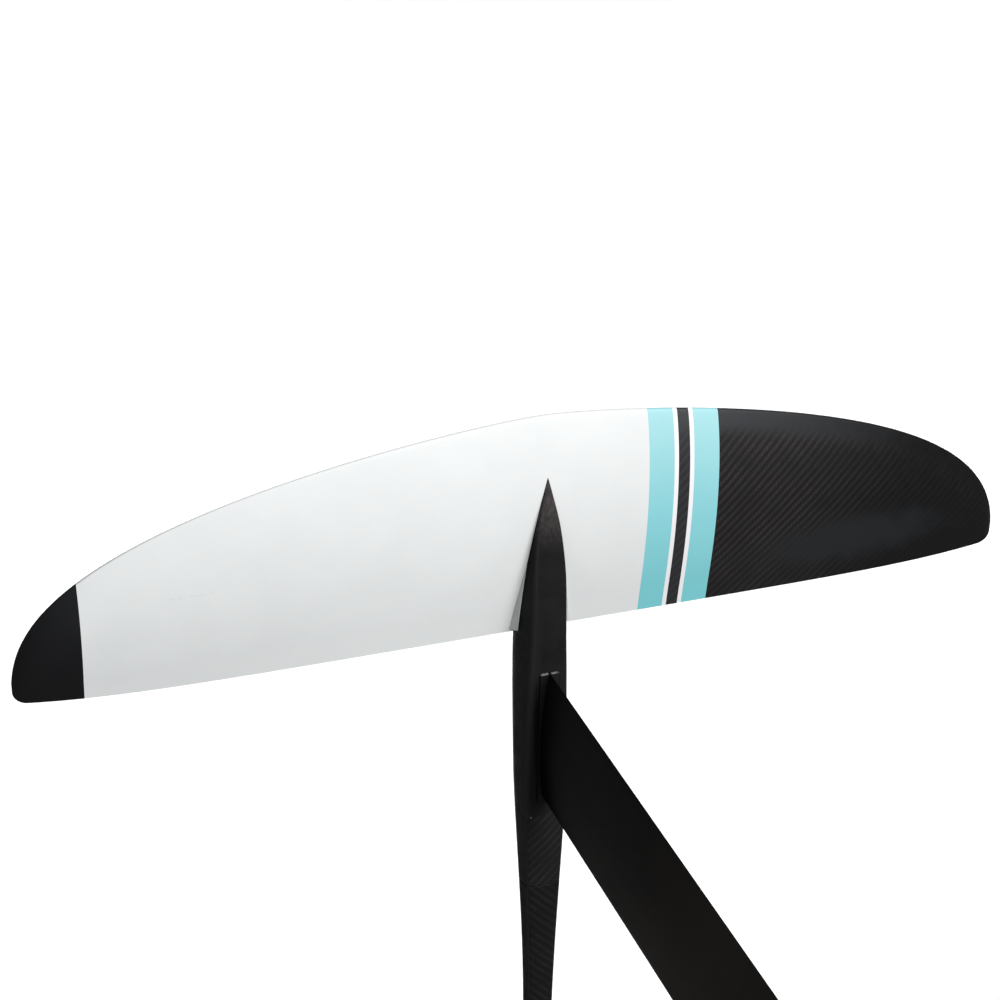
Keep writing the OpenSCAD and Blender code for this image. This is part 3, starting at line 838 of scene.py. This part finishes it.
def mast_aluminium():
    """The mast's black anodising, with painted sheen warmer and lighter towards its trailing edge and away
    from the foot.
    """
    g = Graph("black_aluminium")
    chord_share = g.range(g.y, mast_high.y, mast_low.y)
    # Painted warm sheen towards the trailing edge and away from the foot, weaker towards the leading edge.
    aft = g.range(chord_share, 0.35, 0.95, 0.5, 1.0, smooth=True)
    upward = g.range(g.z, mast_low.z, mast_low.z + 240 * MM)
    clouds = g.range(g.noise(60, detail=3), 0.3, 0.7, -0.05, 0.05)
    warm_sheen = g.math("MULTIPLY_ADD", aft, upward, clouds)
    warm_sheen = g.math("MULTIPLY", warm_sheen, g.range(chord_share, 0.0, 0.35, 0.8, 1.0), clamp=True)
    # Painted light: the leading edge a little lighter than the body.
    lead, body = (0.006, 0.0058, 0.0058, 1), (0.0026, 0.0025, 0.0025, 1)
    colour = g.mix(g.range(chord_share, 0.05, 0.3), lead, body)
    colour = g.mix(warm_sheen, colour, (0.02, 0.0172, 0.0156, 1))
    # Painted sheen, lighter and warmer further up.
    upper_sheen = g.range(g.z, mast_low.z + 210 * MM, mast_low.z + 320 * MM, 0.0, 0.42)
    colour = g.mix(upper_sheen, colour, (0.04, 0.034, 0.031, 1))
    return g.finish(colour, g.range(drawn_grain(g), 0.2, 0.8, 0.42, 0.55), specular=0.004)


def foot_aluminium():
    """Anodised a little lighter than the base plate, with wear on its front edge painted as a bright glint.
    """
    g = Graph("foot_aluminium")
    colour, rough = anodised(g, (0.009, 0.013))
    # Painted glint on the front edge, where the anodising has wear.
    front = g.range(g.y, foot_high.y - 1.9 * MM, foot_high.y - 1.0 * MM)
    sides = g.range(g.math("ABSOLUTE", g.math("ADD", g.x, 0.3 * MM)), 0.8 * MM, 2.0 * MM)
    worn_glint = g.product(front, sides, g.range(g.noise(3.5, detail=2), 0.38, 0.5, 0.25, 1.0))
    colour = g.mix(worn_glint, colour, (0.24, 0.235, 0.23, 1))
    return g.finish(colour, rough, specular=0.12)


def metal(name, colour, rough_low, rough_high, size):
    g = Graph(name)
    grain = g.noise(size, detail=4)
    tone = g.range(g.noise(6, detail=3), 0.3, 0.7, 0.8, 1.0)
    g.bump(grain, 0.02, strength=0.5)
    rough = g.range(grain, 0.3, 0.7, rough_low, rough_high)
    return g.finish(g.shaded((*colour, 1), tone), rough, metallic=1.0)


def foam():
    g = Graph("foam")
    cells = g.node("ShaderNodeTexVoronoi")
    cells.inputs["Scale"].default_value = 1.0
    g.link(g.scaled([1 / (0.9 * MM)] * 3), cells.inputs["Vector"])
    colour = g.mix(cells.outputs["Distance"], (0.80, 0.74, 0.56, 1), (0.62, 0.56, 0.40, 1))
    g.bump(cells.outputs["Distance"], 0.3)
    return g.finish(colour, 0.85, specular=0.2)


def laminate():
    g = Graph("laminate")
    plies = g.math("SINE", g.math("MULTIPLY", g.z, 2 * math.pi / (0.5 * MM)))
    flecks = g.range(g.noise(1.5), 0.3, 0.7, 0.0, 0.4)
    tone = g.math("ADD", g.range(plies, -1, 1, 0.0, 0.6), flecks, clamp=True)
    g.bump(plies, 0.03, strength=0.5)
    return g.finish(g.mix(tone, (0.008, 0.008, 0.009, 1), (0.035, 0.033, 0.032, 1)), 0.5)


def moulded_plastic():
    g = Graph("shim_plastic")
    grain = g.noise(0.8, detail=3)
    colour = g.mix(g.range(g.noise(12), 0.3, 0.7), (0.018, 0.018, 0.02, 1), (0.028, 0.028, 0.03, 1))
    g.bump(grain, 0.04)
    return g.finish(colour, g.range(grain, 0.3, 0.7, 0.45, 0.6), specular=0.4)


PAINT = painted_skin()
CARBON = satin_carbon()
MAIN_WRAP = fuselage_carbon("fuselage_wrap", False, 344, 0.29, 0.62, (0.0125, 0.0118, 0.0122, 1))
TAIL_WRAP = fuselage_carbon("tail_wrap", True, SEAM_BACK - 4, 0.0, 0.4, (0.0095, 0.0085, 0.0088, 1))
ALUMINIUM = mast_aluminium()
FOOT_ALUMINIUM = foot_aluminium()
PLATE_ALUMINIUM = plate_aluminium()
STEEL = metal("stainless", (0.55, 0.56, 0.57), 0.22, 0.38, 1.2)
BRASS = metal("brass", (0.62, 0.47, 0.2), 0.25, 0.4, 1.0)
FOAM = foam()
LAMINATE = laminate()
PLASTIC = moulded_plastic()

# ---- Front wing ----

# Steps of the wing surfaces over the span and over the chord
ROWS, COLS = 181, 53
REAR_ROWS, REAR_COLS = 121, 37


def front_upper():
    top = wing_grid(HALF_SPAN, ROOT_CHORD, CROWN, 0, 0, ROWS, COLS)
    under = wing_grid(HALF_SPAN, ROOT_CHORD, CROWN, 0, 0, ROWS, COLS, inset=SKIN)
    skin = closed_pair("wing_upper_skin", top, under)
    for side in (1, -1):
        combine(skin, saddle(side), "UNION")
    combine(skin, outline_prism(nose_outline(GAP), -6, 45), "DIFFERENCE")
    mark_edges(skin, HALF_SPAN, ROOT_CHORD)
    return piece(skin, "painted_skin", PAINT, "front_wing_upper_skin", crease=28)


def mark_edges(obj, half, chord):
    """Stores each point's distances in millimetres from the leading and the trailing edge."""
    points = np.empty(len(obj.data.vertices) * 3)
    obj.data.vertices.foreach_get("co", points)
    x, y = points.reshape(-1, 3)[:, :2].T / MM
    s = np.abs(x / half).clip(0, 1)
    back = ROOT_LEAD_Y / MM - y
    inside = {"from_lead": back - lead_back(chord, s), "from_trail": trail_back(chord, s) - back}
    for name, distances in inside.items():
        obj.data.attributes.new(name, "FLOAT", "POINT").data.foreach_set("value", distances)


def root_rise(back, k):
    return float(rise(ROOT_CHORD, np.zeros(1), np.array([back / ROOT_CHORD]), k)[0])


def saddle(side, count=24):
    """The fairing between the nose and the wing, from nothing to a steep wall at the trailing edge."""
    rings = []
    for k in range(count + 1):
        t = k / count
        back = SADDLE_FRONT + (ROOT_CHORD - 3 - SADDLE_FRONT) * t
        foot = fus_half_width(back) + GAP
        floor = root_rise(back, CROWN)
        crest = floor + 0.2 + 5.2 * t
        chine = chine_up(back, nose_mid(back))
        inner = GAP + side_x(back, share(chine - crest, 0, chine - nose_mid(back)))
        outer = foot + SADDLE_SPREAD[0] * (1 - t) + SADDLE_SPREAD[1] * t
        edge = [
            (foot, floor - 0.8), (inner, crest), (inner + 0.15 + 0.8 * t, crest),
            (inner + 0.3 + 1.3 * t, crest - 0.1 * (crest - floor)),
            (outer, floor + 0.02), (outer + 0.2, floor - 0.8),
        ]
        if side < 0:
            edge.reverse()
        rings.append([(side * x, back, up) for x, up in edge])
    return loft("saddle", rings)


def front_lower():
    top = wing_grid(HALF_SPAN, ROOT_CHORD, -BELLY, 0, 0, ROWS, COLS, inset=SKIN)
    under = wing_grid(HALF_SPAN, ROOT_CHORD, -BELLY, 0, 0, ROWS, COLS)
    skin = closed_pair("wing_lower_skin", top, under)
    low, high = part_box("front_wing_bushes")
    for back in (back_of(high.y) + BUSH_R, back_of((low.y + high.y) / 2), back_of(low.y) - BUSH_R):
        combine(skin, column(back, -20, 5, BUSH_R + 0.05), "DIFFERENCE")
    return piece(skin, "satin_carbon", CARBON, "front_wing_lower_skin", crease=28)


front_upper()
front_lower()

# ---- Fuselage ----


def fuselage_main():
    nose_backs = NOSE_BACK + 0.15 + (STEP_BACK - NOSE_BACK - 0.15) * np.linspace(0, 1, 70) ** 1.3
    body_backs = np.concatenate([
        np.linspace(STEP_BACK + 0.03, SEAM_BACK - 1.2, 90),
        [SEAM_BACK - 0.8, SEAM_BACK - 0.4, SEAM_BACK - 0.1],
    ])
    body = loft("fuselage_front", [nose_ring(b) for b in nose_backs] + [body_ring(b) for b in body_backs])
    socket = round_rect(FOOT_WIDTH + 1.4, FOOT_LENGTH + 1.0, 3.4, MAST_BACK)
    combine(body, outline_prism(socket, 6, 40), "DIFFERENCE")
    low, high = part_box("mast_foot_cup_washers")
    for back in (back_of(high.y) + CUP_R, back_of(low.y) - CUP_R):
        seat = fus_belly_at(back) + CUP_SEAT
        combine(body, column(back, -30, seat, CUP_R + 0.3), "DIFFERENCE")
        combine(body, column(back, seat - 1, 10, MAST_SCREW_R + GAP), "DIFFERENCE")
    return piece(body, "fuselage_carbon", MAIN_WRAP, "fuselage_main", crease=32)


def fuselage_tail():
    backs = np.concatenate([
        [SEAM_BACK + 0.1, SEAM_BACK + 0.4, SEAM_BACK + 0.8],
        np.linspace(SEAM_BACK + 1.2, TAIL_END - 50, 60),
        TAIL_END - 46 + 46 * np.sin(np.linspace(0, math.pi / 2, 24)),
    ])
    tail = loft("fuselage_rear", [body_ring(b) for b in backs])
    for back in rear_screw_backs():
        combine(tail, column(back, -5, 22, 4.25), "DIFFERENCE")
    return piece(tail, "fuselage_carbon", TAIL_WRAP, "fuselage_tail", crease=32)


def rear_screw_backs():
    low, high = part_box("tail_threaded_inserts")
    radius = (high.x - low.x) / 2 / MM
    return back_of(high.y) + radius, back_of(low.y) - radius


fuselage_main()
fuselage_tail()

# ---- Mast ----


def mast():
    # The plain ring inside each chamfer keeps the chamfer's shading off the long sides
    insets = (0, MAST_CHAMFER, MAST_CHAMFER + 0.35)
    heights = [MAST_FOOT_UP + h for h in insets] + [MAST_TOP_UP - h for h in reversed(insets)]
    narrowed = 1 - MAST_CHAMFER / 8
    widths = (narrowed, 1, 1, 1, 1, narrowed)
    rings = [[(x * wide, b, up) for x, b in mast_outline()] for up, wide in zip(heights, widths)]
    body = loft("mast_section", rings)
    for start, end in MAST_CHAMBERS:
        u = np.linspace(start, end, 12)
        x = mast_half(u) - MAST_WALL
        right = list(zip(x, MAST_BACK + (u - 0.5) * MAST_CHORD))
        hollow = right + [(-a, b) for a, b in reversed(right)]
        combine(body, outline_prism(hollow, MAST_FOOT_UP - 5, MAST_TOP_UP + 5), "DIFFERENCE")
    for bore in MAST_BORES:
        back = MAST_BACK + (bore - 0.5) * MAST_CHORD
        combine(body, column(back, MAST_FOOT_UP - 5, MAST_TOP_UP + 5, MAST_BORE_R), "DIFFERENCE")
    return piece(body, "black_aluminium", ALUMINIUM, "mast_extrusion", crease=30)


mast()

# ---- Rear wing ----


def rear_wing():
    up = up_of(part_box("rear_wing_shim")[0].z) - REAR_SEAT_UP
    top, under = (
        wing_grid(REAR_HALF_SPAN, REAR_CHORD, crown, REAR_BACK, up, REAR_ROWS, REAR_COLS, size=0.5)
        for crown in (REAR_CROWN, -REAR_CROWN)
    )
    wing = closed_pair("rear_wing_body", top, under)
    seat = [(14, REAR_BACK + 3), (-14, REAR_BACK + 3), (-14, REAR_BACK + 75), (14, REAR_BACK + 75)]
    combine(wing, outline_prism(seat, up + REAR_SEAT_UP, up + 20), "DIFFERENCE")
    face = up_of(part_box("rear_wing_screws")[0].z)
    for back in rear_screw_backs():
        for cutter in screw_cutters(back, face, 3.0):
            combine(wing, cutter, "DIFFERENCE")
    return piece(wing, "satin_carbon", CARBON, "rear_wing", crease=28)


rear_wing()

# ---- CAD pieces that keep their shape ----

CAD_FINISH = {
    "front_wing_core": FOAM,
    "front_wing_root_block": LAMINATE,
    "front_wing_bushes": STEEL,
    "front_wing_screws": STEEL,
    "nose_threaded_inserts": BRASS,
    "fuselage_spigot": LAMINATE,
    "mast_foot": FOOT_ALUMINIUM,
    "mast_chamber_plugs": FOAM,
    "mast_foot_screws": STEEL,
    "mast_foot_cup_washers": STEEL,
    "mast_lower_thread_inserts": STEEL,
    "mast_upper_thread_inserts": STEEL,
    "base_plate": PLATE_ALUMINIUM,
    "base_plate_screws": STEEL,
    "rear_wing_shim": PLASTIC,
    "rear_wing_screws": STEEL,
    "tail_threaded_inserts": BRASS,
}
for name, material in CAD_FINISH.items():
    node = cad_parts[name]
    node.data.materials.clear()
    node.data.materials.append(material)
for name, width in (("mast_foot", 0.6), ("base_plate", 0.9)):
    bevel(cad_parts[name], width, 40)

# ---- Studio ----

FLOOR_HALF = 9.0
BACKDROP_SPREAD = 110


def emitter(name, at, aim, size, glow, spread=180):
    """A softbox from one place towards another, as bright as glow times white paper."""
    data = bpy.data.lights.new(name, "AREA")
    data.shape = "RECTANGLE"
    data.size, data.size_y = size
    data.energy = glow * math.pi * size[0] * size[1]
    data.spread = math.radians(spread)
    light = bpy.data.objects.new(name, data)
    scene.collection.objects.link(light)
    light.location = at
    light.rotation_euler = (aim - at).to_track_quat("-Z", "Y").to_euler()


def studio():
    world = bpy.data.worlds.new("studio")
    world.use_nodes = True
    world.node_tree.nodes["Background"].inputs["Color"].default_value = (0.96, 0.98, 1.0, 1)
    world.node_tree.nodes["Background"].inputs["Strength"].default_value = 0.27
    scene.world = world
    middle = place(0, 120, 0)
    emitter("key", middle + Vector((0.72, 1.5, 1.7)), middle, (1.6, 1.1), 10.5)
    emitter("top", middle + Vector((0.74, 0.2, 1.84)), middle, (0.7, 0.9), 3.5)

    floor_z = cad_bounds[0].z - 2.2
    behind = Vector((0.85, -1.15, floor_z))
    for side in (-1, 1):
        at, aim = Vector((2.1 * side, 0.1, 1.2)), Vector((0.3 * side, 0, 0))
        emitter("backdrop_side", behind + at, behind + aim, (2.2, 0.8), 3.1, BACKDROP_SPREAD)
    at, aim = Vector((0.5, -2.2, 1.2)), Vector((0.2, -0.6, 0))
    emitter("backdrop_rear", behind + at, behind + aim, (1.8, 0.6), 2.95, BACKDROP_SPREAD)
    corners = [(x * FLOOR_HALF, y * FLOOR_HALF, floor_z) for x, y in ((-1, -1), (1, -1), (1, 1), (-1, 1))]
    floor = mesh_object("floor", corners, [(0, 1, 2, 3)])
    g = Graph("floor_paper")
    tone = g.range(g.noise(900, detail=2), 0.3, 0.7, 0.93, 0.95)
    g.bump(g.noise(3, detail=3), 0.2, strength=0.1)
    g.finish(tone, 0.9, specular=0.0)
    floor.data.materials.append(g.material)


studio()
scene.view_settings.view_transform = "Standard"
